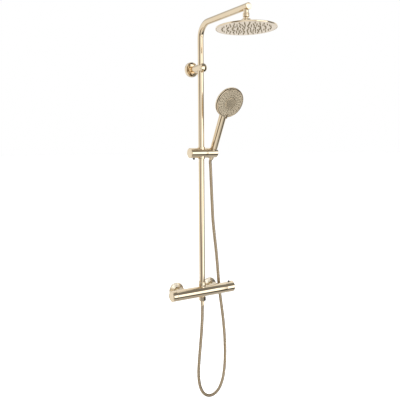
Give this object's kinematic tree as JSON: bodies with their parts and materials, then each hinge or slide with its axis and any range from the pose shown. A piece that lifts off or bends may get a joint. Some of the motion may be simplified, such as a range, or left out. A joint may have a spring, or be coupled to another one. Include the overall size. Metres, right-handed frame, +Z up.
{
  "type": "shower column",
  "caption": "Wall-mounted rainfall shower column: bar valve with two knobs, riser with bent arm and round overhead head, hand shower on a sliding holder, and a hose.",
  "frame": {"origin": "on the wall plane, midway between the two water inlets, at the height of the bar valve's axis", "axes": "+Z up along the riser, +Y into the wall, +X along the bar towards the temperature knob"},
  "size_m": [0.276, 0.4348, 1.4317],
  "materials": {
    "champagne_gold": "polished pale champagne gold plating on brass",
    "gold_tube": "polished pale champagne gold plated tube",
    "gold_sheet": "polished pale champagne gold plated sheet",
    "rose_face": "satin rose-tinted gold face plate",
    "gold_plated_plastic": "metal-plated plastic, polished pale gold",
    "raw_brass": "plain turned brass",
    "steel": "plain steel",
    "rubber": "matt black rubber",
    "dark_nylon": "dark moulded nylon",
    "white_acetal": "off-white moulded acetal",
    "silicone": "olive-grey silicone",
    "hose_gold": "smooth pale gold hose sleeve"
  },
  "bodies": {
    "column": {"left_wall_flange": "champagne_gold", "right_wall_flange": "champagne_gold", "left_union_nut": "champagne_gold", "right_union_nut": "champagne_gold", "valve_body": "champagne_gold", "riser_collar": "champagne_gold", "arm_end_cap": "champagne_gold", "bracket_flange": "champagne_gold", "bracket_stem": "champagne_gold", "bracket_front_cap": "champagne_gold", "head_nipple": "champagne_gold", "swivel_ball": "champagne_gold", "hose_valve_nut": "champagne_gold", "hose_lower_ferrule": "champagne_gold", "riser_tube": "gold_tube", "arm_tube": "gold_tube", "left_wall_union": "raw_brass", "right_wall_union": "raw_brass", "bracket_wall_plate": "steel", "bracket_grub_screw": "steel", "left_inlet_washer": "rubber", "right_inlet_washer": "rubber", "riser_base_o_ring": "rubber", "hose_valve_washer": "rubber", "temperature_stop_ring": "dark_nylon", "riser_joint_insert": "dark_nylon", "left_check_valve": "white_acetal", "right_check_valve": "white_acetal", "thermostatic_cartridge": "white_acetal", "flow_diverter_cartridge": "white_acetal", "shower_hose": "hose_gold"},
    "temperature_control": {"temperature_knob": "champagne_gold", "temperature_spindle": "raw_brass", "override_spring": "steel"},
    "override": {"override_button": "dark_nylon"},
    "flow_control": {"flow_knob": "champagne_gold", "flow_spindle": "raw_brass"},
    "swivel_seat": {"swivel_seat_ring": "dark_nylon"},
    "swivel_nut": {"swivel_collar_nut": "champagne_gold"},
    "rain_head": {"rain_head_shell": "gold_sheet", "rain_head_nozzle_mat": "silicone", "rain_head_face_plate": "rose_face"},
    "carriage": {"slider_upper_bush": "dark_nylon", "slider_lower_bush": "dark_nylon"},
    "slider": {"slider_body": "champagne_gold", "slider_end_cap": "champagne_gold", "slider_brake_pad": "rubber", "slider_button_spring": "steel", "holder_pivot_pin": "steel"},
    "release": {"slider_release_button": "dark_nylon"},
    "holder": {"handset_holder": "champagne_gold"},
    "hose_end": {"hose_cone_nut": "champagne_gold", "handset_washer": "rubber"},
    "handset": {"handset_body": "gold_plated_plastic", "handset_nozzle_mat": "silicone", "handset_spray_plate": "gold_plated_plastic", "handset_centre_cap": "gold_plated_plastic"},
    "selector": {"handset_selector_ring": "gold_plated_plastic", "handset_diverter_disc": "white_acetal"}
  },
  "joints": [
    {"name": "temperature_turn", "type": "hinge", "parent": "column", "child": "temperature_control", "pos_m": [0.12, -0.066, 0], "axis": [1, 0, 0], "range_deg": [-150, 60]},
    {"name": "override_press", "type": "slide", "parent": "temperature_control", "child": "override", "axis": [0, 0, -1], "range_m": [0, 0.002], "stiffness_N_per_m": 400, "springref_m": -0.003, "deforming": ["override_spring"]},
    {"name": "flow_turn", "type": "hinge", "parent": "column", "child": "flow_control", "pos_m": [-0.126, -0.066, 0], "axis": [1, 0, 0], "range_deg": [-90, 90]},
    {"name": "rain_head_tilt_x", "type": "hinge", "parent": "column", "child": "swivel_seat", "pos_m": [0, -0.33399, 0.94269], "axis": [1, 0, 0], "range_deg": [-15, 15]},
    {"name": "rain_head_tilt_y", "type": "hinge", "parent": "swivel_seat", "child": "swivel_nut", "pos_m": [0, -0.33399, 0.94269], "axis": [0, -0.9991, 0.0419], "range_deg": [-15, 15]},
    {"name": "rain_head_spin", "type": "hinge", "parent": "swivel_nut", "child": "rain_head", "pos_m": [0, -0.33399, 0.94269], "axis": [0, -0.0419, -0.9991], "continuous": true},
    {"name": "slider_slide", "type": "slide", "parent": "column", "child": "carriage", "axis": [0, 0, 1], "range_m": [-0.2, 0.13], "deforming": ["shower_hose"]},
    {"name": "slider_swivel", "type": "hinge", "parent": "carriage", "child": "slider", "pos_m": [0, -0.066, 0.519], "axis": [0, 0, 1], "range_deg": [-45, 45], "deforming": ["shower_hose"]},
    {"name": "release_press", "type": "slide", "parent": "slider", "child": "release", "axis": [0, 0, 1], "range_m": [0, 0.003], "stiffness_N_per_m": 300, "springref_m": -0.004, "deforming": ["slider_button_spring"]},
    {"name": "holder_tilt", "type": "hinge", "parent": "slider", "child": "holder", "pos_m": [0.0415, -0.066, 0.519], "axis": [1, 0, 0], "range_deg": [-20, 35], "deforming": ["shower_hose"]},
    {"name": "handset_lift", "type": "slide", "parent": "holder", "child": "hose_end", "axis": [0, -0.4462, 0.8949], "range_m": [0, 0.06], "deforming": ["shower_hose"]},
    {"name": "handset_spin", "type": "hinge", "parent": "hose_end", "child": "handset", "pos_m": [0.049, -0.0675, 0.519], "axis": [0, -0.4462, 0.8949], "continuous": true},
    {"name": "spray_select", "type": "hinge", "parent": "handset", "child": "selector", "pos_m": [0.049, -0.15986, 0.70425], "axis": [0, -0.8949, -0.4462], "range_deg": [-30, 30]}
  ]
}
